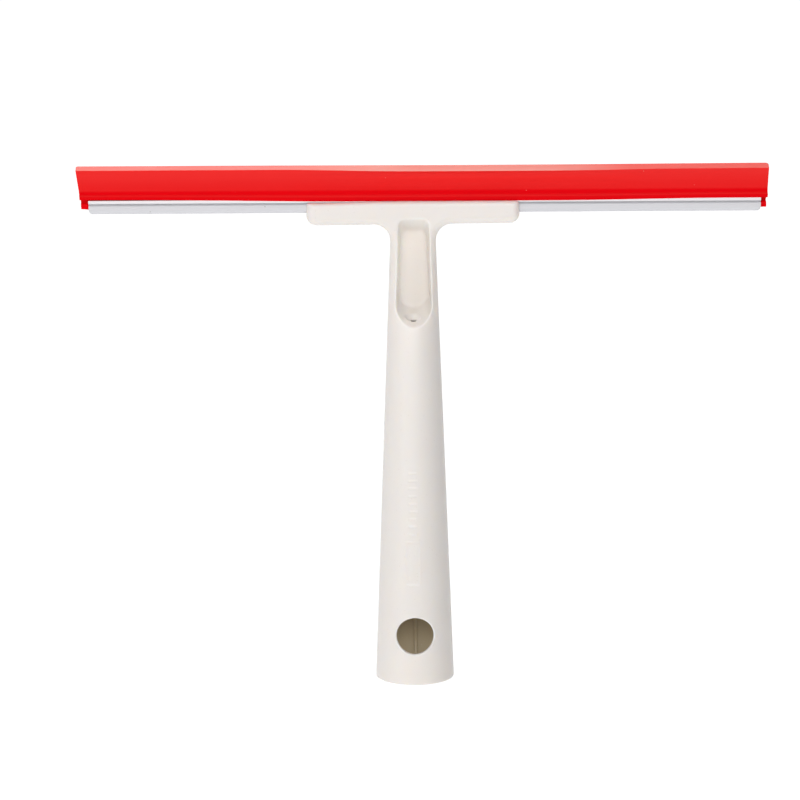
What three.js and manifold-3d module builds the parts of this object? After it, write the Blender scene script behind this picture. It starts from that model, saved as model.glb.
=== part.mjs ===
// A household window squeegee, in millimetres: a one-piece moulded handle with a T-shaped head, a channel that
// slides sideways through the head's jaw, and a rubber blade that slides sideways through the channel.
//
// The origin is the centre of the handle's open end. +Z runs up the handle towards the blade, -Y is the front,
// where the recess and the hang hole are and where the blade's tip leans, and +X is to the right of the front.

import * as THREE from 'three';
import { mergeVertices } from 'three/addons/utils/BufferGeometryUtils.js';
import { ConvexGeometry } from 'three/addons/geometries/ConvexGeometry.js';
import Module from 'manifold-3d';

// Lengths of the three pieces, and how far the two sliding ones sit to the right of the handle's axis.
const HEAD_WIDTH = 93.1;
const CHANNEL_LENGTH = 293.3;
const BLADE_LENGTH = 300;
const CHANNEL_OFFSET = 5.15;
const BLADE_OFFSET = 4.55;

// The grip is a straight cone that tapers up into the neck.
const GRIP_RADIUS = 17.6;
const GRIP_TAPER = 0.03835; // radius lost per millimetre of height
const GRIP_WALL = 2.3;
const GRIP_EDGE = 0.7; // rounding of the open end
const GRIP_SIDES = 56;

// The neck turns from the round grip into a flat bar as deep as the head.
const NECK_START = 146;
const NECK_TOP = 206;
const NECK_STEPS = 12;
const NECK_CORNER_POWER = 6; // superellipse power at the top, 2 being an ellipse
const NECK_TOP_HALF_DEPTH = 6.95;

// The head is a T: a crossbar with a fillet on each side of the neck.
const HEAD_BOTTOM = 204;
const HEAD_TOP = 214.2;
const HEAD_HALF_DEPTH = 7.1;
const HEAD_EDGE = 1.2; // rounding of the outline's front and back edges
const HEAD_LOWER_CORNER = 4.2;
const HEAD_UPPER_CORNER = 1.3;
const HEAD_END_ROUNDING = 4.2; // of the crossbar's ends, seen from above
const HEAD_END_SPARE = 0.4; // by which the rounding outline is larger than the crossbar
const HEAD_FILLET = 7.5;

// The pole socket inside the grip, with ribs that grip a pole.
const SOCKET_STRAIGHT_TOP = 146;
const SOCKET_TOP = 153;
const RIB_COUNT = 3;
const RIB_WIDTH = 1.4;
const RIB_HEIGHT = 1.2;
const RIB_BOTTOM = 4;
const RIB_TOP = 130;

// The hang hole goes through the front wall only.
const HANG_HOLE_RADIUS = 8.2;
const HANG_HOLE_HEIGHT = 22.2;

// The recess in the front of the neck: drafted walls, a round lower end and a sloping lower wall.
const RECESS_FLOOR = -4; // how far the floor is in front of the axis
const RECESS_MOUTH = 14; // the cutting shape's front, clear of the neck
const RECESS_FLOOR_BOTTOM = 166.5;
const RECESS_END_SLOPE = 0.474; // drop of the lower wall per millimetre forward
const RECESS_FLOOR_RADIUS = 6.7;
const RECESS_OFFSET = 0.25; // to the right of the handle's axis
const RECESS_DRAFT = 0.0883; // widening per millimetre forward
const RECESS_TOP = 206.4;
const RECESS_TOP_SLOPE = 0.5;
const RECESS_TOP_NARROWING = 1.15;
const RECESS_TOP_CORNER = 2.6;
const RECESS_FLOOR_EDGE = 1.6;

// A small bowl in the recess's lower wall, with a drain hole into the socket.
const DRAIN_FORWARD = 3.4;
const DRAIN_RADIUS = 1.15;
const BOWL_RADIUS = 3.2;
const BOWL_BOTTOM = 161.3;
const BOWL_SHOULDER = 163.8;

// The channel's section, from its top down. It has a crease between its flared lips and its body.
const CHANNEL_TOP = 215;
const CHANNEL_DEPTH_DOWN = 5.95;
const CHANNEL_BODY_HALF = 4.2;
const CHANNEL_CREASE_HALF = 3.45;
const CHANNEL_LIP_HALF = 3.95;
const CHANNEL_LIP_HEIGHT = 0.5;
const CHANNEL_CREASE_DOWN = 1;
const CHANNEL_SHOULDER_DOWN = 1.6;
const CHANNEL_END_ROUNDING = 1.4;
const MOUTH_HALF = 1.35;
const LIP_UNDERSIDE_DOWN = 1.35;
const CAVITY_HALF = 2.7;
const CAVITY_FLOOR_DOWN = 4.7;
const JAW_CLEARANCE = 0.35;

// The blade, counted up from the channel's top and forward from its middle.
const ROOT_CLEARANCE = 0.3;
const BASE_FRONT = 4.9;
const BASE_UP = 2.1;
const CREASE_UP = 3.7;
const TIP_FORWARD = 10.8;
const TIP_UP = 13.35;
const TIP_BACK_FORWARD = 8.45;
const TIP_BACK_UP = 15.3;

const PAST = 5; // how far a cutting shape runs past what it cuts
const ROUND_STEPS = 40;
const CORNER_STEPS = 4;
const HEAD_CORNER_STEPS = 8;

const wasm = await Module();
wasm.setup();

// Joining and cutting.

function toSolid( geometry ) {

	const bare = geometry.clone();
	bare.deleteAttribute( 'normal' );
	bare.deleteAttribute( 'uv' );
	const merged = mergeVertices( bare, 1e-5 );
	const corners = merged.index.array;
	const kept = [];
	for ( let i = 0; i < corners.length; i += 3 ) {

		const [ a, b, c ] = corners.slice( i, i + 3 );
		if ( a !== b && b !== c && c !== a ) kept.push( a, b, c );

	}

	const mesh = new wasm.Mesh( {
		numProp: 3,
		vertProperties: new Float32Array( merged.attributes.position.array ),
		triVerts: new Uint32Array( kept ),
	} );
	return new wasm.Manifold( mesh );

}

function toGeometry( solid ) {

	const mesh = solid.getMesh();
	const geometry = new THREE.BufferGeometry();
	geometry.setAttribute( 'position', new THREE.BufferAttribute( mesh.vertProperties, 3 ) );
	geometry.setIndex( new THREE.BufferAttribute( mesh.triVerts, 1 ) );
	const flat = geometry.toNonIndexed();
	flat.computeVertexNormals();
	return flat;

}

// Outlines. A corner is [ x, y, radius ], and a radius of 0 or none leaves it sharp.

function roundedShape( corners, steps = CORNER_STEPS ) {

	const points = corners.flatMap( ( [ x, y, radius = 0 ], i ) => {

		const here = new THREE.Vector2( x, y );
		if ( radius === 0 ) return here;
		const [ beforeX, beforeY ] = corners.at( i - 1 );
		const [ afterX, afterY ] = corners.at( ( i + 1 ) % corners.length );
		const before = new THREE.Vector2( beforeX, beforeY ).sub( here ).normalize();
		const after = new THREE.Vector2( afterX, afterY ).sub( here ).normalize();
		const half = Math.acos( before.dot( after ) ) / 2;
		const middle = before.clone().add( after ).setLength( radius / Math.sin( half ) ).add( here );
		const start = before.clone().multiplyScalar( radius / Math.tan( half ) ).add( here );
		const sweep = Math.sign( after.cross( before ) ) * ( Math.PI - 2 * half );
		return Array.from( { length: steps + 1 }, ( _, step ) => {

			return start.clone().rotateAround( middle, sweep * step / steps );

		} );

	} );
	return new THREE.Shape( points );

}

// The same outline with its mirror image: the corners go down the front, and come back up the other side.
function mirrored( corners ) {

	return [ ...corners, ...corners.map( ( [ x, y, radius ] ) => [ - x, y, radius ] ).reverse() ];

}

function extrude( shape, depth, options = {} ) {

	return new THREE.ExtrudeGeometry( shape, {
		depth,
		steps: 1,
		bevelEnabled: false,
		...options,
	} );

}

// A section drawn as ( forward, up ), run along X from start to end.
function sectionAlongX( shape, start, end, options ) {

	const forward = new THREE.Vector3( 0, - 1, 0 );
	const up = new THREE.Vector3( 0, 0, 1 );
	const along = new THREE.Vector3( - 1, 0, 0 );
	const place = new THREE.Matrix4().makeBasis( forward, up, along ).setPosition( end, 0, 0 );
	return toSolid( extrude( shape, end - start, options ).applyMatrix4( place ) );

}

// An outline drawn as seen from the front, run forward from back to front.
function outlineForward( shape, back, front, options ) {

	const right = new THREE.Vector3( 1, 0, 0 );
	const up = new THREE.Vector3( 0, 0, 1 );
	const forward = new THREE.Vector3( 0, - 1, 0 );
	const place = new THREE.Matrix4().makeBasis( right, up, forward ).setPosition( 0, - back, 0 );
	return toSolid( extrude( shape, front - back, options ).applyMatrix4( place ) );

}

function uprightCylinder( radius, bottom, top, forward = 0 ) {

	const cylinder = new THREE.CylinderGeometry( radius, radius, top - bottom, ROUND_STEPS );
	cylinder.rotateX( Math.PI / 2 );
	cylinder.translate( 0, - forward, ( bottom + top ) / 2 );
	return toSolid( cylinder );

}

// The handle.

function gripRadius( z ) {

	return GRIP_RADIUS - GRIP_TAPER * z;

}

// Turns a unit circle's coordinate into a superellipse's. Specks of rounding are taken for zero.
function squarer( coordinate, power ) {

	if ( Math.abs( coordinate ) < 1e-6 ) return 0;
	return Math.sign( coordinate ) * Math.abs( coordinate ) ** ( 2 / power );

}

// The grip and neck as one skin. Its levels are the open end's edge, then the grip, then even steps up the neck.
function gripBody() {

	const body = new THREE.CylinderGeometry( 1, 1, 1, GRIP_SIDES, NECK_STEPS + 2 );
	body.rotateX( Math.PI / 2 );
	const levels = [ 0, GRIP_EDGE ];
	for ( let i = 0; i <= NECK_STEPS; i ++ ) {

		levels.push( THREE.MathUtils.lerp( NECK_START, NECK_TOP, i / NECK_STEPS ) );

	}

	const place = body.attributes.position;
	for ( let i = 0; i < place.count; i ++ ) {

		const level = Math.round( ( place.getZ( i ) + 0.5 ) * ( NECK_STEPS + 2 ) );
		const z = levels[ level ];
		const flattening = THREE.MathUtils.smoothstep( z, NECK_START, NECK_TOP );
		const power = THREE.MathUtils.lerp( 2, NECK_CORNER_POWER, flattening );
		const edge = level === 0 ? GRIP_EDGE : 0;
		const halfWidth = gripRadius( z ) - edge;
		const halfDepth = THREE.MathUtils.lerp( gripRadius( z ), NECK_TOP_HALF_DEPTH, flattening ) - edge;
		place.setXYZ(
			i,
			halfWidth * squarer( place.getX( i ), power ),
			halfDepth * squarer( place.getY( i ), power ),
			z,
		);

	}

	return toSolid( body );

}

// The crossbar and its fillets, as one outline with rounded edges, trimmed to round ends as seen from above.
function head() {

	const half = HEAD_WIDTH / 2;
	const neckHalf = gripRadius( HEAD_BOTTOM );
	const outline = roundedShape( mirrored( [
		[ half, HEAD_TOP, HEAD_UPPER_CORNER ],
		[ half, HEAD_BOTTOM, HEAD_LOWER_CORNER ],
		[ neckHalf, HEAD_BOTTOM, HEAD_FILLET ],
		[ neckHalf, HEAD_BOTTOM - HEAD_FILLET - HEAD_EDGE ],
	] ), HEAD_CORNER_STEPS );
	const bar = outlineForward( outline, HEAD_EDGE - HEAD_HALF_DEPTH, HEAD_HALF_DEPTH - HEAD_EDGE, {
		bevelEnabled: true,
		bevelThickness: HEAD_EDGE,
		bevelSize: HEAD_EDGE,
		bevelOffset: - HEAD_EDGE,
		bevelSegments: 3,
	} );
	const plan = roundedShape( mirrored( [
		[ half + HEAD_END_SPARE, HEAD_HALF_DEPTH + HEAD_END_SPARE, HEAD_END_ROUNDING ],
		[ half + HEAD_END_SPARE, - HEAD_HALF_DEPTH - HEAD_END_SPARE, HEAD_END_ROUNDING ],
	] ) );
	const trim = extrude( plan, HEAD_TOP - HEAD_BOTTOM + 2 * HEAD_FILLET );
	return bar.intersect( toSolid( trim.translate( 0, 0, HEAD_BOTTOM - 1.5 * HEAD_FILLET ) ) );

}

// The space that the channel runs in, open at the top.
function jaw() {

	const outline = channelOutside( JAW_CLEARANCE, CHANNEL_TOP + PAST );
	return sectionAlongX( outline, - HEAD_WIDTH / 2 - PAST, HEAD_WIDTH / 2 + PAST );

}

// The pole socket: a cone with a rounded top, less the ribs on its wall.
function socket() {

	const top = gripRadius( SOCKET_STRAIGHT_TOP ) - GRIP_WALL;
	const mouth = gripRadius( - PAST ) - GRIP_WALL;
	const profile = [ new THREE.Vector2( 0, - PAST ), new THREE.Vector2( mouth, - PAST ) ];
	for ( let i = 0; i <= 6; i ++ ) {

		const angle = i / 6 * Math.PI / 2;
		const rise = SOCKET_TOP - SOCKET_STRAIGHT_TOP;
		profile.push( new THREE.Vector2( top * Math.cos( angle ), SOCKET_STRAIGHT_TOP + rise * Math.sin( angle ) ) );

	}

	profile.at( - 1 ).x = 0;
	const cone = toSolid( new THREE.LatheGeometry( profile, ROUND_STEPS ).rotateX( Math.PI / 2 ) );
	const core = new THREE.CylinderGeometry(
		gripRadius( RIB_TOP + PAST ) - GRIP_WALL - RIB_HEIGHT,
		gripRadius( RIB_BOTTOM - PAST ) - GRIP_WALL - RIB_HEIGHT,
		RIB_TOP - RIB_BOTTOM + 2 * PAST,
		ROUND_STEPS,
	).rotateX( Math.PI / 2 ).translate( 0, 0, ( RIB_TOP + RIB_BOTTOM ) / 2 );
	const betweenRibs = toSolid( core );
	let space = cone;
	for ( let i = 0; i < RIB_COUNT; i ++ ) {

		const rib = new THREE.BoxGeometry( RIB_WIDTH, GRIP_RADIUS, RIB_TOP - RIB_BOTTOM );
		rib.translate( 0, GRIP_RADIUS / 2, ( RIB_TOP + RIB_BOTTOM ) / 2 );
		rib.rotateZ( i / RIB_COUNT * 2 * Math.PI );
		space = space.subtract( toSolid( rib ).subtract( betweenRibs ) );

	}

	return space;

}

// The recess's outline at one depth, as points at that depth, drawn in by inset on every side.
function recessOutline( forward, inset ) {

	const rise = forward - RECESS_FLOOR;
	const radius = RECESS_FLOOR_RADIUS + RECESS_DRAFT * rise - inset;
	const bottom = RECESS_FLOOR_BOTTOM - RECESS_END_SLOPE * rise + inset;
	const topHalf = radius - RECESS_TOP_NARROWING;
	const top = RECESS_TOP - RECESS_TOP_SLOPE * ( HEAD_HALF_DEPTH - forward ) - inset;
	const points = [];
	for ( let i = 0; i <= 12; i ++ ) {

		const angle = Math.PI + i / 12 * Math.PI;
		points.push( [ radius * Math.cos( angle ), bottom + radius + radius * Math.sin( angle ) ] );

	}

	for ( const side of [ 1, - 1 ] ) {

		for ( let i = 0; i <= 3; i ++ ) {

			const angle = i / 3 * Math.PI / 2;
			const x = topHalf - RECESS_TOP_CORNER + RECESS_TOP_CORNER * Math.cos( angle );
			points.push( [ side * x, top - RECESS_TOP_CORNER + RECESS_TOP_CORNER * Math.sin( angle ) ] );

		}

	}

	return points.map( ( [ x, z ] ) => new THREE.Vector3( x + RECESS_OFFSET, - forward, z ) );

}

function recess() {

	return toSolid( new ConvexGeometry( [
		...recessOutline( RECESS_MOUTH, 0 ),
		...recessOutline( RECESS_FLOOR + RECESS_FLOOR_EDGE, 0 ),
		...recessOutline( RECESS_FLOOR + RECESS_FLOOR_EDGE * 0.3, RECESS_FLOOR_EDGE * 0.3 ),
		...recessOutline( RECESS_FLOOR, RECESS_FLOOR_EDGE ),
	] ) );

}

function drain() {

	const bowl = new THREE.LatheGeometry( [
		new THREE.Vector2( 0, BOWL_BOTTOM ),
		new THREE.Vector2( DRAIN_RADIUS, BOWL_BOTTOM ),
		new THREE.Vector2( BOWL_RADIUS, BOWL_SHOULDER ),
		new THREE.Vector2( BOWL_RADIUS, BOWL_SHOULDER + PAST ),
		new THREE.Vector2( 0, BOWL_SHOULDER + PAST ),
	], ROUND_STEPS / 2 ).rotateX( Math.PI / 2 ).translate( 0, - DRAIN_FORWARD, 0 );
	return toSolid( bowl ).add( uprightCylinder( DRAIN_RADIUS, SOCKET_STRAIGHT_TOP, BOWL_BOTTOM + 1, DRAIN_FORWARD ) );

}

function hangHole() {

	const hole = new THREE.CylinderGeometry( HANG_HOLE_RADIUS, HANG_HOLE_RADIUS, GRIP_RADIUS + PAST, ROUND_STEPS );
	return toSolid( hole.translate( 0, - ( GRIP_RADIUS + PAST ) / 2, HANG_HOLE_HEIGHT ) );

}

function handle() {

	return gripBody()
		.add( head() )
		.subtract( jaw() )
		.subtract( socket() )
		.subtract( recess() )
		.subtract( drain() )
		.subtract( hangHole() );

}

// The channel.

// Its outside, larger by clearance all round, and open upwards to top where it cuts the jaw.
function channelOutside( clearance = 0, top = CHANNEL_TOP ) {

	return roundedShape( mirrored( [
		[ CHANNEL_LIP_HALF + clearance, top, clearance ? 0 : 0.25 ],
		[ CHANNEL_LIP_HALF + clearance, CHANNEL_TOP - CHANNEL_LIP_HEIGHT, 0.2 ],
		[ CHANNEL_CREASE_HALF + clearance, CHANNEL_TOP - CHANNEL_CREASE_DOWN, 0.15 ],
		[ CHANNEL_BODY_HALF + clearance, CHANNEL_TOP - CHANNEL_SHOULDER_DOWN, 0.4 ],
		[ CHANNEL_BODY_HALF + clearance, CHANNEL_TOP - CHANNEL_DEPTH_DOWN - clearance, 1.7 ],
	] ) );

}

function channelCavity() {

	return roundedShape( mirrored( [
		[ MOUTH_HALF, CHANNEL_TOP + PAST ],
		[ MOUTH_HALF, CHANNEL_TOP - LIP_UNDERSIDE_DOWN, 0.2 ],
		[ CAVITY_HALF, CHANNEL_TOP - LIP_UNDERSIDE_DOWN, 0.5 ],
		[ CAVITY_HALF, CHANNEL_TOP - CAVITY_FLOOR_DOWN, 0.8 ],
	] ) );

}

function channel() {

	const start = CHANNEL_OFFSET - CHANNEL_LENGTH / 2;
	const end = CHANNEL_OFFSET + CHANNEL_LENGTH / 2;
	const bottom = CHANNEL_TOP - CHANNEL_DEPTH_DOWN;
	const rounded = roundedShape( [
		[ start, bottom, CHANNEL_END_ROUNDING ],
		[ end, bottom, CHANNEL_END_ROUNDING ],
		[ end, CHANNEL_TOP + 1 ],
		[ start, CHANNEL_TOP + 1 ],
	] );
	return sectionAlongX( channelOutside(), start, end )
		.subtract( sectionAlongX( channelCavity(), start - PAST, end + PAST ) )
		.intersect( outlineForward( rounded, - 2 * CHANNEL_BODY_HALF, 2 * CHANNEL_BODY_HALF ) );

}

// The blade: its bulb and neck in the channel, its fluted base on the channel's lips, and its leaning flap.
function blade() {

	const bulbHalf = CAVITY_HALF - ROOT_CLEARANCE;
	const neckHalf = MOUTH_HALF - ROOT_CLEARANCE;
	const bulbTop = - LIP_UNDERSIDE_DOWN - ROOT_CLEARANCE;
	const bulbBottom = ROOT_CLEARANCE - CAVITY_FLOOR_DOWN;
	const section = [
		[ bulbHalf, bulbBottom, 0.9 ],
		[ bulbHalf, bulbTop, 0.9 ],
		[ neckHalf, bulbTop, 0.2 ],
		[ neckHalf, ROOT_CLEARANCE, 0.3 ],
		[ BASE_FRONT, ROOT_CLEARANCE, 0.3 ],
		[ BASE_FRONT, BASE_UP, 0.2 ],
		[ BASE_FRONT - 0.25, BASE_UP + 0.25, 0.25 ],
		[ BASE_FRONT - 0.1, CREASE_UP, 2.2 ],
		[ TIP_FORWARD, TIP_UP, 0.15 ],
		[ TIP_BACK_FORWARD, TIP_BACK_UP, 0.15 ],
		[ 2.3, 6.4, 4 ],
		[ - 3.9, 2.4, 0.6 ],
		[ - 3.9, ROOT_CLEARANCE, 0.4 ],
		[ - neckHalf, ROOT_CLEARANCE, 0.3 ],
		[ - neckHalf, bulbTop, 0.2 ],
		[ - bulbHalf, bulbTop, 0.9 ],
		[ - bulbHalf, bulbBottom, 0.9 ],
	].map( ( [ forward, up, radius ] ) => [ forward, CHANNEL_TOP + up, radius ] );
	return sectionAlongX( roundedShape( section ), BLADE_OFFSET - BLADE_LENGTH / 2, BLADE_OFFSET + BLADE_LENGTH / 2 );

}

const offWhitePlastic = new THREE.MeshStandardMaterial( { color: 0xece7e3, roughness: 0.42, metalness: 0 } );
const greyPlastic = new THREE.MeshStandardMaterial( { color: 0xdadbdf, roughness: 0.4, metalness: 0 } );
const redRubber = new THREE.MeshStandardMaterial( { color: 0xe8161a, roughness: 0.5, metalness: 0 } );

const squeegee = new THREE.Group();

function place( name, solid, material ) {

	const piece = new THREE.Mesh( toGeometry( solid ), material );
	piece.name = name;
	squeegee.add( piece );

}

place( 'handle', handle(), offWhitePlastic );
place( 'channel', channel(), greyPlastic );
place( 'blade', blade(), redRubber );

export default squeegee;
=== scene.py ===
"""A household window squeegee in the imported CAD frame: a moulded handle, a sliding channel, a rubber blade.

The handle is the surface of a signed distance. The channel and the blade are sections swept along X. The
rubber's sag and curl along its length are formulas, and nothing is simulated.
"""

import math

import bpy
import numpy as np
from mathutils import Euler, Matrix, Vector


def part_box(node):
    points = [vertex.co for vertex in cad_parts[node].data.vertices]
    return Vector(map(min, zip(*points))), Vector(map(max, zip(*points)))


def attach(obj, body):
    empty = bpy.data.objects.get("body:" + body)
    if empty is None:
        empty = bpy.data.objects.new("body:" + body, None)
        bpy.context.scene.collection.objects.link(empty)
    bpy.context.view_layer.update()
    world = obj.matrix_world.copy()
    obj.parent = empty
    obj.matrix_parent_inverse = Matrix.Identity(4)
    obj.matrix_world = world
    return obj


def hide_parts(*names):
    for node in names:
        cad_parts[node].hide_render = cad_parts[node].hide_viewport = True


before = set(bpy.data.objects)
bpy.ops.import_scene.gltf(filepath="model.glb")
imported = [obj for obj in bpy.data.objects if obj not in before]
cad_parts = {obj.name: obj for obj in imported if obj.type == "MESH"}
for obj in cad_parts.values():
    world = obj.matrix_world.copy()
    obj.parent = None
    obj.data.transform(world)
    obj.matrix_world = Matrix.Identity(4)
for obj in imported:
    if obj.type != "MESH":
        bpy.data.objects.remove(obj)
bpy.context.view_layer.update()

MM = 0.001

# Sizes in millimetres. The boxes come from the frame. Forward is towards -Y.
handle_high = np.array(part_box("handle")[1]) / MM
channel_low, channel_high = (np.array(corner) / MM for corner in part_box("channel"))
blade_low, blade_high = (np.array(corner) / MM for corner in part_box("blade"))

# The head is a crossbar with a fillet on each side of the neck. Its top sags towards the left arm's end.
HEAD_HALF_WIDTH = handle_high[0]
HEAD_TOP = 214.2
HEAD_BOTTOM = 204.0
HEAD_HALF_DEPTH = 7.1
HEAD_UPPER_TILT, HEAD_LOWER_TILT = 0.0025, 0.0075
LEFT_ARM_SAG = 0.45
UPPER_CORNER_LEFT, UPPER_CORNER_RIGHT, LOWER_CORNER = 1.4, 2.1, 4.3
HEAD_FILLET = 7.5
HEAD_END_ROUNDING = 3.2
HEAD_END_START = 30.0

# The grip is a cone, and hollow. The neck turns it into a bar as deep as the head.
GRIP_RADIUS = 17.6
GRIP_TAPER = 0.03835
GRIP_WALL = 2.3
GRIP_EDGE = 0.8
SOCKET_STRAIGHT_TOP, SOCKET_TOP = 146.0, 153.0
RIB_TURNS = (math.pi - 0.031, math.pi / 3, -math.pi / 3)
RIB_HALF_WIDTH, RIB_HEIGHT = 0.65, 1.3
RIB_BOTTOM, RIB_TOP = 4.0, 130.0
HANG_HOLE_RADIUS, HANG_HOLE_HEIGHT = 8.2, 22.2
NECK_START, NECK_TOP = 146.0, 206.0

# The recess in the front of the neck, and the dish with a drain hole in its lower end
RECESS_FLOOR = -4.0
RECESS_BOTTOM, RECESS_TOP = 166.5, 206.4
RECESS_RADIUS = 6.7
RECESS_OFFSET = 0.25
RECESS_DRAFT = 0.0883
RECESS_NARROWING = 1.15
RECESS_TOP_SLOPE = 0.5
RECESS_TOP_CORNER = 2.6
RECESS_FLOOR_EDGE = 0.9
END_SLOPE = 0.474
DISH_FORWARD = 3.6
DISH_RADIUS, DISH_DEPTH = 3.2, 1.5
DRAIN_RADIUS = 1.25
DISH_NORMAL = np.array([END_SLOPE, 1.0]) / math.hypot(END_SLOPE, 1)
DISH_HEIGHT = RECESS_BOTTOM - END_SLOPE * (DISH_FORWARD - RECESS_FLOOR)
DISH_BOTTOM = DISH_HEIGHT - DISH_DEPTH * DISH_NORMAL[1]
DRAIN_FORWARD = DISH_FORWARD - DISH_DEPTH * DISH_NORMAL[0]

# Plain raised marks on the front of the grip: a blank frame and, above it, a ladder of short bars
RELIEF_HEIGHT = 0.17
FRAME_CENTRE = (-0.7, 55.0)
FRAME_HALF_SIZE = (2.5, 9.0)
FRAME_ROUNDING = 0.6
LADDER_START, LADDER_BOTTOM, LADDER_TOP = 68.0, 66.2, 97.0
RUNG_SPACING = 3.4

# The channel's section. Heights down are from its top. The head's jaw has a bead that sits in the crease.
CHANNEL_TOP = channel_high[2]
CHANNEL_BOTTOM = channel_low[2]
CHANNEL_HALF_DEPTH = 4.2
LIP_HALF_DEPTH = 4.6
LIP_DOWN = 1.3
CREASE_HALF_DEPTH, CREASE_DOWN = 3.1, 1.85
SHOULDER_DOWN = 2.4
SLOT_HALF_WIDTH = 1.35
CAVITY_HALF_DEPTH = 2.7
CAVITY_TOP_DOWN, CAVITY_FLOOR_DOWN = 1.35, 4.7
CHANNEL_END_ROUNDING = 1.4
JAW_DOWN = (1.55, 1.78, 1.92, 2.4)
JAW_HALF_DEPTH = (5.1, 3.7, 3.65, 4.55)
JAW_FLOOR_DOWN = 6.3


# Meshes


def new_piece(name, vertices, faces):
    """A smooth-shaded mesh object from points in millimetres."""
    mesh = bpy.data.meshes.new(name)
    mesh.from_pydata((np.asarray(vertices, float) * MM).tolist(), [], faces)
    mesh.update()
    piece = bpy.data.objects.new(name, mesh)
    bpy.context.scene.collection.objects.link(piece)
    mesh.shade_smooth()
    return piece


def note(piece, name, values):
    """Keeps one number per point in the mesh, for a material to read."""
    layer = piece.data.attributes.new(name, "FLOAT", "POINT")
    layer.data.foreach_set("value", np.asarray(values, np.float32))


def smoothstep(value, low, high):
    """0 below low and 1 above high, with a smooth rise between."""
    t = np.clip((value - low) / (high - low), 0, 1)
    return t * t * (3 - 2 * t)


def round_or(a, b, radius):
    """The union of two distances, with a fillet where they meet."""
    inner = np.hypot(np.maximum(radius - a, 0), np.maximum(radius - b, 0))
    return np.maximum(radius, np.minimum(a, b)) - inner


def round_and(a, b, radius):
    """What two distances share, with a rounded edge where they meet."""
    outer = np.hypot(np.maximum(radius + a, 0), np.maximum(radius + b, 0))
    return np.minimum(-radius, np.maximum(a, b)) + outer


def surface_net(distance, xs, ys, zs):
    """Points and quads where a distance is zero, with one point in each cell that the surface crosses."""
    x, y, z = np.meshgrid(xs, ys, zs, indexing="ij")
    field = distance(x, y, z)
    inside = field < 0
    total = np.zeros((len(xs) - 1, len(ys) - 1, len(zs) - 1, 3), np.float32)
    count = np.zeros(total.shape[:3], np.float32)
    axes = (xs, ys, zs)
    sides = [(a, b) for a in (0, 1) for b in (0, 1)]
    for axis in range(3):
        low = [slice(None)] * 3
        high = [slice(None)] * 3
        low[axis], high[axis] = slice(0, -1), slice(1, None)
        low, high = tuple(low), tuple(high)
        crossed = inside[low] != inside[high]
        share = field[low] / np.where(crossed, field[low] - field[high], 1)
        shape = [1, 1, 1]
        shape[axis] = -1
        step = np.diff(axes[axis]).reshape(shape)
        others = [k for k in range(3) if k != axis]
        for a, b in sides:
            part = [slice(None)] * 3
            part[others[0]] = slice(a, a + total.shape[others[0]])
            part[others[1]] = slice(b, b + total.shape[others[1]])
            part = tuple(part)
            hit = crossed[part]
            count += hit
            for k, grid in enumerate((x, y, z)):
                place = grid[low][part]
                if k == axis:
                    place = place + (share * step)[part]
                total[..., k] += np.where(hit, place, 0)
    used = count > 0
    points = total[used] / count[used][:, None]
    number = np.full(count.shape, -1, np.int64)
    number[used] = np.arange(len(points))
    quads = []
    for axis in range(3):
        low = [slice(1, -1)] * 3
        high = [slice(1, -1)] * 3
        low[axis], high[axis] = slice(0, -1), slice(1, None)
        first, second = inside[tuple(low)], inside[tuple(high)]
        at = np.argwhere(first != second)
        outward = first[tuple(at.T)]
        at += [0 if k == axis else 1 for k in range(3)]
        u, v = [k for k in range(3) if k != axis]
        ring = []
        for back_u, back_v in ((1, 1), (0, 1), (0, 0), (1, 0)):
            cell = at.copy()
            cell[:, u] -= back_u
            cell[:, v] -= back_v
            ring.append(number[tuple(cell.T)])
        ring = np.stack(ring, axis=1)
        turned = outward if axis != 1 else ~outward
        ring[~turned] = ring[~turned][:, ::-1]
        quads.append(ring)
    return points.astype(float), np.concatenate(quads)


def gradient(distance, points, step=0.02):
    """How a distance rises along X, Y and Z at each point."""
    slopes = []
    for k in range(3):
        move = np.zeros(3)
        move[k] = step
        ahead, behind = points + move, points - move
        slopes.append((distance(*ahead.T) - distance(*behind.T)) / (2 * step))
    return np.stack(slopes, axis=1)


def settle(distance, points, rounds=4, most=0.3):
    """Moves points onto the surface itself, by Newton's steps."""
    for _ in range(rounds):
        slope = gradient(distance, points)
        steep = np.maximum((slope**2).sum(axis=1), 1e-3)
        move = slope * (distance(*points.T) / steep)[:, None]
        length = np.linalg.norm(move, axis=1)
        points = points - move * np.minimum(1, most / np.maximum(length, 1e-9))[:, None]
    return points


# The handle, as distances in millimetres


def grip_radius(z):
    return GRIP_RADIUS - GRIP_TAPER * z


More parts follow.
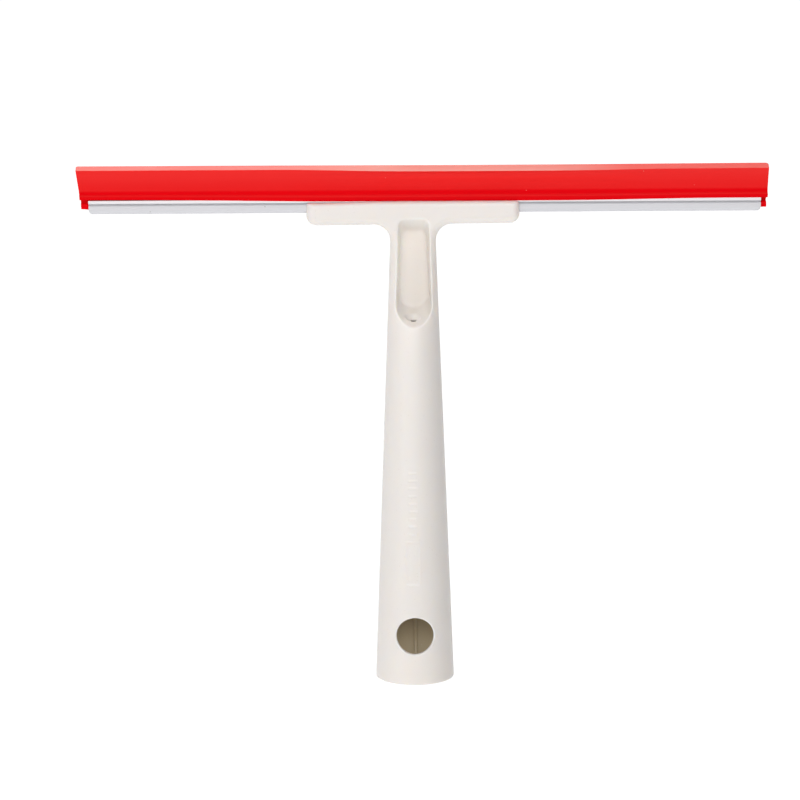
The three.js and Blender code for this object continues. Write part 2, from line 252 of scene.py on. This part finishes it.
def body_distance(x, forward, z):
    """The grip, neck and head in one skin: a round section turns into a flat one with the head's outline."""
    flattening = smoothstep(z, NECK_START, NECK_TOP)
    half_width = grip_radius(z)
    half_depth = half_width + (HEAD_HALF_DEPTH - half_width) * flattening
    out = np.hypot(x, forward)
    squash = np.maximum(np.hypot(x / half_width, forward / half_depth), 1e-6)
    round_section = out - out / squash
    middle, half_height = (HEAD_TOP + HEAD_BOTTOM) / 2, (HEAD_TOP - HEAD_BOTTOM) / 2
    upper_sag = HEAD_UPPER_TILT * x - LEFT_ARM_SAG * smoothstep(-x, 12, 42)
    drooped = z - np.where(z > middle, upper_sag, HEAD_LOWER_TILT * x)
    upper_corner = np.where(x > 0, UPPER_CORNER_RIGHT, UPPER_CORNER_LEFT)
    corner = np.where(drooped > middle, upper_corner, LOWER_CORNER)
    to_side = np.abs(x) - HEAD_HALF_WIDTH + corner
    to_end = np.abs(drooped - middle) - half_height + corner
    beyond = np.hypot(np.maximum(to_side, 0), np.maximum(to_end, 0))
    bar = beyond + np.minimum(np.maximum(to_side, to_end), 0) - corner
    tee = round_or(bar, np.abs(x) - half_width, HEAD_FILLET)
    tee = round_and(tee, drooped - HEAD_TOP, 0.2)
    # The front and back edges are rounder in the neck, and less round along the crossbar's top.
    edge = 3.3 - 1.2 * smoothstep(z, middle - 1, middle + 2) + 2.7 * (1 - smoothstep(z, 186, 202))
    flat_section = round_and(tee, np.abs(forward) - half_depth, edge)
    plan_side = np.abs(x) - HEAD_HALF_WIDTH + HEAD_END_ROUNDING
    plan_front = np.abs(forward) - HEAD_HALF_DEPTH + HEAD_END_ROUNDING
    plan_out = np.hypot(np.maximum(plan_side, 0), np.maximum(plan_front, 0))
    plan = plan_out + np.minimum(np.maximum(plan_side, plan_front), 0) - HEAD_END_ROUNDING
    flat_section = np.where(np.abs(x) > HEAD_END_START, np.maximum(flat_section, plan), flat_section)
    turn = smoothstep(z, 150, 192)
    skin = round_section * (1 - turn) + flat_section * turn
    return round_and(skin, -z, GRIP_EDGE)


def relief_height(x, forward, z):
    """How far the raised marks stand out of the grip's front."""
    across, up = np.abs(x - FRAME_CENTRE[0]), np.abs(z - FRAME_CENTRE[1])
    beyond = np.hypot(np.maximum(across - FRAME_HALF_SIZE[0], 0), np.maximum(up - FRAME_HALF_SIZE[1], 0))
    marks = 1 - smoothstep(np.abs(beyond - FRAME_ROUNDING), 0.15, 0.4)
    turn = (z - LADDER_START) / RUNG_SPACING
    rung = np.abs(turn - np.round(turn)) * RUNG_SPACING
    on_rung = (1 - smoothstep(rung, 0.25, 0.55)) * (1 - smoothstep(across, 1.8, 2.2))
    marks = np.maximum(marks, on_rung * (z > LADDER_BOTTOM) * (z < LADDER_TOP))
    return RELIEF_HEIGHT * marks * (forward > 0)


def socket_distance(x, forward, z):
    """The space in the grip: a cone with a domed top, and ribs standing on its wall."""
    wall = grip_radius(np.minimum(z, SOCKET_STRAIGHT_TOP)) - GRIP_WALL
    out = np.hypot(x, forward)
    rise = np.maximum(z - SOCKET_STRAIGHT_TOP, 0) * wall / (SOCKET_TOP - SOCKET_STRAIGHT_TOP)
    space = np.hypot(out, rise) - wall
    for turn in RIB_TURNS:
        along = forward * math.cos(turn) + x * math.sin(turn)
        across = x * math.cos(turn) - forward * math.sin(turn)
        rib = round_and(np.abs(across) - RIB_HALF_WIDTH, wall - RIB_HEIGHT - along, 0.3)
        rib = np.maximum(rib, np.maximum(z - RIB_TOP, RIB_BOTTOM - z))
        space = np.maximum(space, -rib)
    return space


def recess_distance(x, forward, z):
    """The open-front recess in the neck: drafted walls, a flat floor, and ends that slope out forwards."""
    rise = forward - RECESS_FLOOR
    radius = RECESS_RADIUS + RECESS_DRAFT * rise
    centre = RECESS_BOTTOM - END_SLOPE * rise + radius
    top = RECESS_TOP + RECESS_TOP_SLOPE * (forward - HEAD_HALF_DEPTH)
    across = np.abs(x - RECESS_OFFSET)
    half = radius - RECESS_NARROWING * np.clip((z - centre) / np.maximum(top - centre, 1), 0, 1)
    sides = np.where(z < centre, np.hypot(across, z - centre) - radius, across - half)
    outline = round_and(sides, z - top, RECESS_TOP_CORNER)
    return round_and(outline * 0.92, -rise, RECESS_FLOOR_EDGE)


def drain_distance(x, forward, z):
    """A round dish sunk in the recess's sloping lower end, with a small hole at its bottom."""
    sphere = (DISH_RADIUS**2 + DISH_DEPTH**2) / (2 * DISH_DEPTH)
    centre_forward, centre_up = np.array([DISH_FORWARD, DISH_HEIGHT]) + (sphere - DISH_DEPTH) * DISH_NORMAL
    dish = np.sqrt(x**2 + (forward - centre_forward) ** 2 + (z - centre_up) ** 2) - sphere
    hole = np.hypot(x, forward - DRAIN_FORWARD) - DRAIN_RADIUS
    return np.minimum(dish, np.maximum(hole, np.maximum(z - DISH_HEIGHT, SOCKET_STRAIGHT_TOP - 1 - z)))


def jaw_distance(forward, z):
    """The space for the channel, open at the top, with a bead on each side for the channel's crease."""
    down = CHANNEL_TOP - z
    depth = np.abs(forward)
    half = np.interp(down, JAW_DOWN, JAW_HALF_DEPTH)
    return round_and(depth - half, down - JAW_FLOOR_DOWN, 1.6)


def handle_distance(x, y, z):
    """The whole moulding: its skin and raised marks, less the recess, drain, socket, hang hole and jaw."""
    forward = -y
    skin = body_distance(x, forward, z) - relief_height(x, forward, z)
    skin = round_and(skin, -recess_distance(x, forward, z), 0.55)
    skin = round_and(skin, -drain_distance(x, forward, z), 0.25)
    skin = round_and(skin, -socket_distance(x, forward, z), 0.5)
    hang_hole = np.maximum(np.hypot(x, z - HANG_HOLE_HEIGHT) - HANG_HOLE_RADIUS, -forward)
    skin = round_and(skin, -hang_hole, 0.45)
    return round_and(skin, -jaw_distance(forward, z), 0.3)


def stretches(*parts):
    """Grid places from (start, step) pairs and a last end."""
    places = []
    for (start, step), following in zip(parts[:-1], parts[1:]):
        end = following[0] if isinstance(following, tuple) else following
        places.append(np.arange(start, end - step * 0.3, step))
    return np.append(np.concatenate(places), parts[-1])


def make_handle():
    """The moulding, finer at the raised marks and the head, with notes of where its colour changes: painted
    shade in the socket, the recess and the drain hole, and painted light on the recess's left wall and top.
    """
    half = HEAD_HALF_WIDTH + 1
    side = stretches((0.19, 0.36), (4.3, 0.52), (18.5, 1.1), (half - 5, 0.5), half)
    xs = np.concatenate([-side[::-1], side])
    ys = np.arange(-18.2, 18.3, 0.52)
    zs = stretches((-0.9, 0.5), (34, 1.3), (44.3, 0.36), (98, 1.6), (154, 0.5), HEAD_TOP + 1.2)
    points, quads = surface_net(handle_distance, xs, ys, zs)
    points = settle(handle_distance, points)
    piece = new_piece("handle_moulding", points, quads.tolist())
    x, y, z = points.T
    # Painted shade: the socket's inside is coloured dark olive where little light reaches it.
    depth = grip_radius(z) - GRIP_WALL + 0.9 - np.hypot(x, y)
    note(piece, "inside", smoothstep(depth, 0, 0.8) * (z < SOCKET_TOP + 3))
    # Painted shade: the recess is tinted darker.
    in_trough = 1 - smoothstep(np.abs(recess_distance(x, -y, z)), 0.1, 0.6)
    note(piece, "painted_recess_shade", in_trough)
    # Painted light: the recess's left side and its top are coloured lighter, lifting the shade that falls
    # there.
    note(piece, "painted_recess_light", in_trough * np.maximum(1 - smoothstep(x, -7, 3), smoothstep(z, 198, 205)))
    # Painted shade: the drain hole's inside is coloured near black.
    near_drain = 1 - smoothstep(np.hypot(x, -y - DRAIN_FORWARD), 1.15, 1.45)
    note(piece, "drain", near_drain * smoothstep(DISH_BOTTOM + 0.25 - z, 0, 0.35) * (z > SOCKET_TOP - 3))
    return piece


# Swept sections, for the channel and the blade


def rounded(corners, steps=6):
    """An outline's points from (forward, up, radius) corners."""
    places = []
    for i, (forward, up, radius) in enumerate(corners):
        here = np.array([forward, up])
        before = np.array(corners[i - 1][:2]) - here
        after = np.array(corners[(i + 1) % len(corners)][:2]) - here
        if radius == 0:
            places.append(here)
            continue
        before = before / np.linalg.norm(before)
        after = after / np.linalg.norm(after)
        half = math.acos(float(before @ after)) / 2
        inward = before + after
        middle = here + inward / np.linalg.norm(inward) * radius / math.sin(half)
        start = here + before * radius / math.tan(half) - middle
        turn = math.copysign(math.pi - 2 * half, after[0] * before[1] - after[1] * before[0])
        for step in range(steps + 1):
            angle = turn * step / steps
            c, s = math.cos(angle), math.sin(angle)
            places.append(middle + [c * start[0] - s * start[1], s * start[0] + c * start[1]])
    return np.array(places)


def refined(outline, most=0.8):
    """The same outline with no stretch longer than most."""
    places = []
    following = np.roll(outline, -1, axis=0)
    for here, there in zip(outline, following):
        count = max(1, math.ceil(np.linalg.norm(there - here) / most))
        places += [here + (there - here) * k / count for k in range(count)]
    return np.array(places)


def sweep(name, outline, stations, shape):
    """A section run along X. shape(outline, x) gives the section's points, as (forward, up), at a station."""
    rings = [shape(outline, x) for x in stations]
    count = len(outline)
    vertices = [(x, -f, u) for x, ring in zip(stations, rings) for f, u in ring]
    faces = []
    for i in range(len(stations) - 1):
        for k in range(count):
            a, b = i * count + k, i * count + (k + 1) % count
            faces.append((a, a + count, b + count, b))
    faces.append(tuple(range(count)))
    faces.append(tuple(reversed(range(len(vertices) - count, len(vertices)))))
    return new_piece(name, vertices, faces)


def end_stations(low, high, edge, step):
    """Places along X, closer together where the ends round off."""
    lead = [edge * (1 - math.cos(k / 5 * math.pi / 2)) for k in range(6)]
    middle = np.arange(low + edge + step, high - edge - step / 2, step)
    return np.array([low + k for k in lead] + middle.tolist() + [high - k for k in reversed(lead)])


def make_channel():
    """A C-section with two lips, a crease under each, and a cavity for the rubber's bulb."""
    top, bottom = CHANNEL_TOP, CHANNEL_BOTTOM
    outside = [
        (SLOT_HALF_WIDTH, top, 0.25),
        (LIP_HALF_DEPTH, top, 0.25),
        (LIP_HALF_DEPTH, top - LIP_DOWN, 0.3),
        (CREASE_HALF_DEPTH, top - CREASE_DOWN, 0.1),
        (CHANNEL_HALF_DEPTH, top - SHOULDER_DOWN, 0.5),
        (CHANNEL_HALF_DEPTH, bottom, 1.7),
    ]
    inside = [
        (CAVITY_HALF_DEPTH, top - CAVITY_FLOOR_DOWN, 0.8),
        (CAVITY_HALF_DEPTH, top - CAVITY_TOP_DOWN, 0.4),
        (SLOT_HALF_WIDTH, top - CAVITY_TOP_DOWN, 0.25),
    ]
    back = [(-forward, up, radius) for forward, up, radius in reversed(outside)]
    inner = [(-forward, up, radius) for forward, up, radius in reversed(inside)] + inside
    outline = refined(rounded(outside + back + inner), 0.9)[::-1]  # reversed, so that its faces look outwards
    low, high = channel_low[0], channel_high[0]
    corner = CHANNEL_END_ROUNDING
    shoulder = top - SHOULDER_DOWN

    def shape(section, x):
        """The lower edge rounds up at the channel's ends. The lips and the crease run straight through."""
        past = np.clip(corner - min(x - low, high - x), 0, corner)
        lift = corner - math.sqrt(corner**2 - past**2)
        placed = section.copy()
        placed[:, 1] += lift * np.clip((shoulder - placed[:, 1]) / (shoulder - bottom), 0, 1)
        return placed

    stations = end_stations(low, high, corner, 1.5)
    piece = sweep("grey_channel", outline, stations, shape)
    down, out = top - outline[:, 1], np.abs(outline[:, 0])
    # Painted highlight on the lips' fronts.
    painted_lip_light = (1 - smoothstep(down, 1.2, 1.4)) * (out > 3)
    # Painted shade in the crease under each lip.
    painted_crease_shade = smoothstep(down, 1.4, 1.65) * (1 - smoothstep(down, 1.95, 2.3)) * (out > 2.9)
    note(piece, "painted_lip_light", np.tile(painted_lip_light, len(stations)))
    note(piece, "painted_crease_shade", np.tile(painted_crease_shade, len(stations)))
    return piece


# The blade's section, as (forward, up, radius) corners with heights up from the channel's top
BLADE_SECTION = [
    (2.4, -4.4, 0.9),  # the bulb, held in the channel's cavity
    (2.4, -1.65, 0.9),
    (1.05, -1.65, 0.25),  # the neck, in the channel's slot
    (1.05, 0.3, 0.3),
    (4.9, 0.3, 0.35),  # the base, on the channel's lips
    (4.9, 2.1, 0.2),
    (4.65, 2.35, 0.3),
    (4.8, 3.7, 2.2),
    (10.8, 13.35, 0.14),  # the flap's cut tip
    (8.45, 15.3, 0.14),
    (2.3, 6.4, 4),
    (-3.9, 2.4, 0.6),
    (-3.9, 0.3, 0.4),
    (-1.05, 0.3, 0.3),
    (-1.05, -1.65, 0.2),
    (-2.4, -1.65, 0.9),
    (-2.4, -4.4, 0.9),
]
TIP_FORWARD, TIP_UP = 8.45, 15.3
RIDGE_UP = 2.1  # the base's front upper edge
BLADE_SLANT = 0.045  # how far the ends lean to the left for each millimetre up
SLANT_START = 4.0
ROOT_LIFT = 0.6  # of the bulb, where it comes out of the channel on the left
ROOT_SHIFT_LEFT, ROOT_SHIFT_RIGHT = 0.1, -0.4
TIP_CORNER_UP = 15.2
TIP_CORNER_LEFT, TIP_CORNER_RIGHT = 0.7, 1.3


def relaxed(section, x):
    """The blade's section at x. The flap's tip curls forward, and the base's front sags in the middle."""
    top = CHANNEL_TOP
    tip = np.array([TIP_FORWARD, top + TIP_UP])
    middle = smoothstep(x, -58, 4) * (1 - 0.7 * smoothstep(x, 62, 118))
    ripple = 0.012 * math.sin(x / 23 + 0.8) + 0.008 * math.sin(x / 9.5 + 2.1)
    placed = section - tip
    curl = (0.5 * middle - 0.02 + ripple) * smoothstep(placed[:, 1], -9, -1)
    c, s = np.cos(curl), np.sin(curl)
    forward, up = placed.T
    turned = np.stack([c * forward + s * up, c * up - s * forward], axis=1) + tip
    sag = 0.3 * math.exp(-(((x - 40) / 95) ** 2))
    turned[:, 1] -= sag * smoothstep(section[:, 1], top + 5, top + 15)
    droop = 1.15 * smoothstep(x, -130, -25) * (1 - 0.65 * smoothstep(x, 60, 140))
    on_lip = smoothstep(section[:, 0], 3.9, 4.3) * (1 - smoothstep(section[:, 1], top + 0.6, top + 4))
    turned[:, 1] -= droop * on_lip
    return turned


def cut_ends(piece, low, high):
    """Leans the blade's ends, shifts its root, and rounds the tip's two corners."""
    for vertex in piece.data.vertices:
        height = vertex.co.z / MM - CHANNEL_TOP
        from_low, from_high = vertex.co.x / MM - low, high - vertex.co.x / MM
        if height < -1.6:
            vertex.co.z += ROOT_LIFT * (1 - smoothstep(from_low, 0, 8)) * MM
        vertex.co.x -= BLADE_SLANT * (height - SLANT_START) * MM
        if height < 0.5:
            shift = ROOT_SHIFT_LEFT if vertex.co.x < 0 else ROOT_SHIFT_RIGHT
            vertex.co.x += shift * min(1, (0.5 - height) / 1.5) * MM
        from_top = TIP_CORNER_UP - height
        for inward, radius in ((from_low, TIP_CORNER_LEFT), (from_high, TIP_CORNER_RIGHT)):
            if inward < radius and from_top < radius:
                past = math.hypot(radius - inward, radius - from_top) - radius
                vertex.co.z -= max(past, 0) * MM


def make_blade():
    """The rubber, with notes of the painted highlight on its cut tip, of the painted sheen on its flap, and
    of the painted highlight on its base's front edge.
    """
    top = CHANNEL_TOP
    outline = refined(rounded([(forward, top + up, radius) for forward, up, radius in BLADE_SECTION]), 0.5)
    low, high = blade_low[0], blade_high[0]
    stations = end_stations(low, high, 1.3, 1.25)
    piece = sweep("rubber_blade", outline, stations, relaxed)
    cut_ends(piece, low, high)
    faced = np.array([vertex.normal for vertex in piece.data.vertices])
    x, y, z = np.array([vertex.co for vertex in piece.data.vertices]).T / MM
    # Painted highlight on the cut tip where it faces up, stronger on the left and weaker on the right.
    on_tip = (faced[:, 1] < 0) * (z > top + 12)
    tip_highlight = 0.5 + 0.5 * smoothstep(x, -70, 0) - 0.62 * smoothstep(x, 50, 100)
    note(piece, "cut", smoothstep(faced[:, 2], 0.1, 0.5) * on_tip * tip_highlight)
    # Painted highlight along the base's front upper edge, and painted sheen on the flap's front.
    near_ridge = 1 - smoothstep(np.abs(outline[:, 1] - top - RIDGE_UP), 0.15, 0.45)
    ridge = 0.4 * near_ridge * (outline[:, 0] > 4.4)
    flap = 0.55 * smoothstep(z - top, 3.4, 4.6) + 0.45 * smoothstep(z - top, 4.6, 12)
    note(piece, "painted_sheen", np.maximum(flap, np.tile(ridge, len(stations))))
    return piece


# Materials


class Nodes:
    """A material's node tree, with short ways to add what the materials here share."""

    def __init__(self, name):
        self.material = bpy.data.materials.new(name)
        self.material.use_nodes = True
        self.tree = self.material.node_tree
        self.shader = self.tree.nodes["Principled BSDF"]
        self.place = self.add("ShaderNodeTexCoord").outputs["Object"]

    def add(self, kind, **settings):
        node = self.tree.nodes.new(kind)
        for key, value in settings.items():
            setattr(node, key, value)
        return node

    def link(self, out, socket):
        self.tree.links.new(out, socket)

    def stretched(self, scale):
        mapping = self.add("ShaderNodeMapping")
        mapping.inputs["Scale"].default_value = scale
        self.link(self.place, mapping.inputs["Vector"])
        return mapping.outputs["Vector"]

    def noise(self, scale, detail=4, stretch=(1, 1, 1)):
        node = self.add("ShaderNodeTexNoise")
        node.inputs["Scale"].default_value = scale
        node.inputs["Detail"].default_value = detail
        self.link(self.stretched(stretch), node.inputs["Vector"])
        return node.outputs["Fac"]

    def spread(self, value, low, high, from_low=0.3, from_high=0.7):
        node = self.add("ShaderNodeMapRange")
        node.inputs["From Min"].default_value = from_low
        node.inputs["From Max"].default_value = from_high
        node.inputs["To Min"].default_value = low
        node.inputs["To Max"].default_value = high
        self.link(value, node.inputs["Value"])
        return node.outputs["Result"]

    def mix(self, share, first, second, blend="MIX"):
        node = self.add("ShaderNodeMix", data_type="RGBA", blend_type=blend)
        for value, socket in ((share, node.inputs[0]), (first, node.inputs[6]), (second, node.inputs[7])):
            if isinstance(value, (float, int, tuple)):
                socket.default_value = value
            else:
                self.link(value, socket)
        return node.outputs[2]

    def specks(self, scale, size):
        """1 in sparse small spots, 0 elsewhere."""
        node = self.add("ShaderNodeTexVoronoi")
        node.inputs["Scale"].default_value = scale
        self.link(self.place, node.inputs["Vector"])
        near = self.spread(node.outputs["Distance"], 1, 0, size * 0.6, size)
        parted = self.add("ShaderNodeSeparateColor")
        self.link(node.outputs["Color"], parted.inputs["Color"])
        rare = self.add("ShaderNodeMath", operation="GREATER_THAN")
        rare.inputs[1].default_value = 0.8
        self.link(parted.outputs["Red"], rare.inputs[0])
        both = self.add("ShaderNodeMath", operation="MULTIPLY")
        self.link(near, both.inputs[0])
        self.link(rare.outputs["Value"], both.inputs[1])
        return both.outputs["Value"]

    def worn(self, most):
        """Up to most on sharp edges, in patches."""
        sharp = self.spread(self.add("ShaderNodeNewGeometry").outputs["Pointiness"], 0, most, 0.52, 0.62)
        both = self.add("ShaderNodeMath", operation="MULTIPLY")
        self.link(sharp, both.inputs[0])
        self.link(self.spread(self.noise(90, 5), 0, 1, 0.42, 0.58), both.inputs[1])
        return both.outputs["Value"]

    def noted(self, name):
        return self.add("ShaderNodeAttribute", attribute_name=name).outputs["Fac"]

    def bump(self, height, distance, strength=1.0, under=None):
        node = self.add("ShaderNodeBump")
        node.inputs["Distance"].default_value = distance
        node.inputs["Strength"].default_value = strength
        self.link(height, node.inputs["Height"])
        if under is not None:
            self.link(under, node.inputs["Normal"])
        return node.outputs["Normal"]


def handle_plastic():
    """Warm off-white polypropylene: faint flow marks up the grip, a fine satin grain, and rare specks, with
    painted shade in the socket, the recess and the drain hole, and painted light on the recess's left wall
    and top.
    """
    n = Nodes("handle_plastic")
    clouds = n.noise(18, 3, (1, 1, 0.35))
    colour = n.mix(n.spread(clouds, 0, 1), (0.843, 0.8, 0.763, 1), (0.855, 0.814, 0.779, 1))
    # Painted shade inside the socket.
    colour = n.mix(n.noted("inside"), colour, (0.43, 0.355, 0.235, 1))
    # Painted shade in the recess.
    colour = n.mix(n.noted("painted_recess_shade"), colour, (0.81, 0.767, 0.718, 1))
    # Painted light on the recess's left wall and top.
    colour = n.mix(n.noted("painted_recess_light"), colour, (0.96, 0.92, 0.88, 1))
    # Painted shade in the drain hole.
    colour = n.mix(n.noted("drain"), colour, (0.07, 0.05, 0.03, 1))
    colour = n.mix(n.specks(900, 0.12), colour, (0.62, 0.55, 0.48, 1))
    colour = n.mix(n.worn(0.25), colour, (0.93, 0.9, 0.87, 1))
    n.link(colour, n.shader.inputs["Base Color"])
    n.link(n.spread(n.noise(160, 5), 0.3, 0.38), n.shader.inputs["Roughness"])
    n.link(n.spread(n.noted("drain"), 0.5, 0, 0, 1), n.shader.inputs["Subsurface Weight"])
    flow = n.bump(n.noise(60, 2, (1, 1, 0.06)), 0.00006, 0.5)
    grain = n.bump(n.noise(1500, 2), 0.00001, 0.2, flow)
    n.link(grain, n.shader.inputs["Normal"])
    n.shader.inputs["Subsurface Radius"].default_value = (1.0, 0.85, 0.65)
    n.shader.inputs["Subsurface Scale"].default_value = 0.0025
    n.shader.inputs["IOR"].default_value = 1.49
    return n.material


def channel_plastic():
    """Cool light grey extruded plastic: fine lines along its length, small dark specks, a painted highlight
    on the lips and painted shade in the creases.
    """
    n = Nodes("channel_plastic")
    lines = n.noise(700, 3, (0.012, 1, 1))
    colour = n.mix(n.spread(lines, 0, 1), (0.66, 0.665, 0.695, 1), (0.71, 0.712, 0.742, 1))
    # Painted highlight on the lips.
    colour = n.mix(n.noted("painted_lip_light"), colour, (0.86, 0.84, 0.86, 1))
    # Painted shade in the creases.
    colour = n.mix(n.noted("painted_crease_shade"), colour, (0.56, 0.55, 0.57, 1))
    colour = n.mix(n.specks(420, 0.13), colour, (0.42, 0.4, 0.39, 1))
    colour = n.mix(n.worn(0.3), colour, (0.8, 0.8, 0.82, 1))
    n.link(colour, n.shader.inputs["Base Color"])
    n.link(n.spread(n.noise(300, 4, (0.05, 1, 1)), 0.34, 0.46), n.shader.inputs["Roughness"])
    n.link(n.bump(lines, 0.00004, 0.5), n.shader.inputs["Normal"])
    n.shader.inputs["IOR"].default_value = 1.5
    return n.material


def blade_rubber():
    """Bright red rubber: faint lengthwise lines from extruding, a soft sheen, a little pale dust, painted
    sheen on the flap and the base's front edge, and a painted highlight on the cut tip.
    """
    n = Nodes("blade_rubber")
    lines = n.noise(520, 3, (0.01, 1, 1))
    clouds = n.noise(22, 3, (0.5, 1, 1))
    colour = n.mix(n.spread(clouds, 0, 1), (0.77, 0.0003, 0.004, 1), (0.81, 0.0005, 0.0045, 1))
    # Painted sheen on the flap and painted highlight on the base's front edge.
    colour = n.mix(n.noted("painted_sheen"), colour, (0.87, 0.017, 0.015, 1))
    colour = n.mix(n.spread(lines, 0, 0.2), colour, (0.76, 0.001, 0.004, 1))
    colour = n.mix(n.specks(260, 0.05), colour, (0.9, 0.35, 0.3, 1))
    colour = n.mix(n.worn(0.1), colour, (0.9, 0.2, 0.18, 1))
    # Painted highlight on the cut tip.
    colour = n.mix(n.noted("cut"), colour, (0.88, 0.36, 0.31, 1))
    n.link(colour, n.shader.inputs["Base Color"])
    n.link(n.spread(n.noise(240, 4, (0.2, 1, 1)), 0.36, 0.5), n.shader.inputs["Roughness"])
    ripples = n.bump(n.noise(40, 2, (0.5, 1, 1)), 0.0002, 0.25)
    n.link(n.bump(lines, 0.00003, 0.5, ripples), n.shader.inputs["Normal"])
    n.shader.inputs["Subsurface Weight"].default_value = 0.08
    n.shader.inputs["Subsurface Radius"].default_value = (1.0, 0.1, 0.1)
    n.shader.inputs["Subsurface Scale"].default_value = 0.001
    n.shader.inputs["IOR"].default_value = 1.5
    n.link(n.spread(n.noted("painted_sheen"), 0.03, 0.15, 0, 1), n.shader.inputs["Specular IOR Level"])
    return n.material


def dress(piece, node, body, material):
    """Puts a piece in a node's place, on its body, in its material."""
    piece.data.materials.append(material)
    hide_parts(node)
    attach(piece, body)


# The studio


def softbox(name, place, aim, size, radiance):
    """A rectangular lamp whose face has a given radiance, where 1 is a white wall in the finished picture."""
    light = bpy.data.lights.new(name, "AREA")
    light.shape = "RECTANGLE"
    light.size, light.size_y = size
    light.energy = radiance * math.pi * size[0] * size[1]
    lamp = bpy.data.objects.new(name, light)
    lamp.location = place
    lamp.rotation_euler = (Vector(aim) - Vector(place)).to_track_quat("-Z", "Y").to_euler()
    bpy.context.scene.collection.objects.link(lamp)


def make_floor():
    """A floor that is white to look at. What it lends the object is brightest behind it."""
    bpy.ops.mesh.primitive_plane_add(size=80, location=(0, 0, -0.6))
    floor = bpy.context.object
    floor.name = "studio_floor"
    material = bpy.data.materials.new("studio_floor")
    material.use_nodes = True
    nodes, links = material.node_tree.nodes, material.node_tree.links
    shader = nodes["Principled BSDF"]
    shader.inputs["Base Color"].default_value = (0.86, 0.86, 0.86, 1)
    shader.inputs["Roughness"].default_value = 0.9
    shader.inputs["Specular IOR Level"].default_value = 0.1
    shader.inputs["Emission Color"].default_value = (1, 1, 1, 1)
    parted = nodes.new("ShaderNodeSeparateXYZ")
    links.new(nodes.new("ShaderNodeTexCoord").outputs["Object"], parted.inputs["Vector"])
    ramps = []
    for start, end, strength in ((-3, -1, 0.45), (0.1, 1.2, 0.85)):
        ramp = nodes.new("ShaderNodeMapRange")
        ramp.interpolation_type = "SMOOTHSTEP"
        for key, value in (("From Min", start), ("From Max", end), ("To Min", 0), ("To Max", strength)):
            ramp.inputs[key].default_value = value
        links.new(parted.outputs["Y"], ramp.inputs["Value"])
        ramps.append(ramp)
    links.new(ramps[0].outputs["Result"], ramps[1].inputs["To Min"])
    glow = ramps[1].outputs["Result"]
    seen = nodes.new("ShaderNodeMix")
    seen.inputs["B"].default_value = 0.9
    links.new(nodes.new("ShaderNodeLightPath").outputs["Is Camera Ray"], seen.inputs["Factor"])
    links.new(glow, seen.inputs["A"])
    links.new(seen.outputs["Result"], shader.inputs["Emission Strength"])
    floor.data.materials.append(material)


def make_walls():
    """A room that is white to look at. The light it lends is white from behind, and dimmer from the front."""
    world = bpy.data.worlds.new("studio")
    bpy.context.scene.world = world
    world.use_nodes = True
    tree = world.node_tree
    place = tree.nodes.new("ShaderNodeTexCoord")
    parted = tree.nodes.new("ShaderNodeSeparateXYZ")
    tree.links.new(place.outputs["Generated"], parted.inputs["Vector"])
    side = tree.nodes.new("ShaderNodeMapRange")
    for key, value in (("From Min", -1), ("From Max", 1), ("To Min", 0.25), ("To Max", 0.1)):
        side.inputs[key].default_value = value
    tree.links.new(parted.outputs["X"], side.inputs["Value"])
    back = tree.nodes.new("ShaderNodeMapRange")
    back.interpolation_type = "SMOOTHSTEP"
    for key, value in (("From Min", 0.6), ("From Max", 0.95), ("To Max", 1.05)):
        back.inputs[key].default_value = value
    tree.links.new(parted.outputs["Y"], back.inputs["Value"])
    tree.links.new(side.outputs["Result"], back.inputs["To Min"])
    seen = tree.nodes.new("ShaderNodeMix")
    seen.inputs["B"].default_value = 1.05
    tree.links.new(tree.nodes.new("ShaderNodeLightPath").outputs["Is Camera Ray"], seen.inputs["Factor"])
    tree.links.new(back.outputs["Result"], seen.inputs["A"])
    tree.links.new(seen.outputs["Result"], tree.nodes["Background"].inputs["Strength"])
    tree.nodes["Background"].inputs["Color"].default_value = (1, 1, 1, 1)


def make_studio():
    make_walls()
    make_floor()
    softbox("front", (-0.12, -1.5, 0.65), (0, 0, 0.15), (1.4, 1.0), 3.3)
    softbox("left", (-0.95, -1.1, 0.3), (0, 0, 0.12), (0.4, 1.3), 1.3)
    softbox("overhead", (-0.18, 0.03, 1.0), (-0.05, 0, 0.2), (0.6, 0.3), 8)
    bpy.context.scene.view_settings.view_transform = "Standard"


def make_camera():
    """A long lens a metre away and a little above, aimed at the middle of the handle."""
    elevation = math.radians(8.6)
    target = Vector((-0.0061, 0, 0.1258))
    data = bpy.data.cameras.new("camera")
    data.sensor_width = 36
    data.lens = 101.4
    camera = bpy.data.objects.new("camera", data)
    camera.location = target + Vector((0, -math.cos(elevation), math.sin(elevation)))
    turn = Euler((math.pi / 2 - elevation, 0, 0)).to_matrix()
    roll = Euler((0, 0, -math.radians(0.33))).to_matrix()
    camera.rotation_euler = (turn @ roll).to_euler()
    bpy.context.scene.collection.objects.link(camera)
    bpy.context.scene.camera = camera


make_camera()
make_studio()
dress(make_handle(), "handle", "handle_body", handle_plastic())
dress(make_channel(), "channel", "channel_body", channel_plastic())
dress(make_blade(), "blade", "blade_body", blade_rubber())
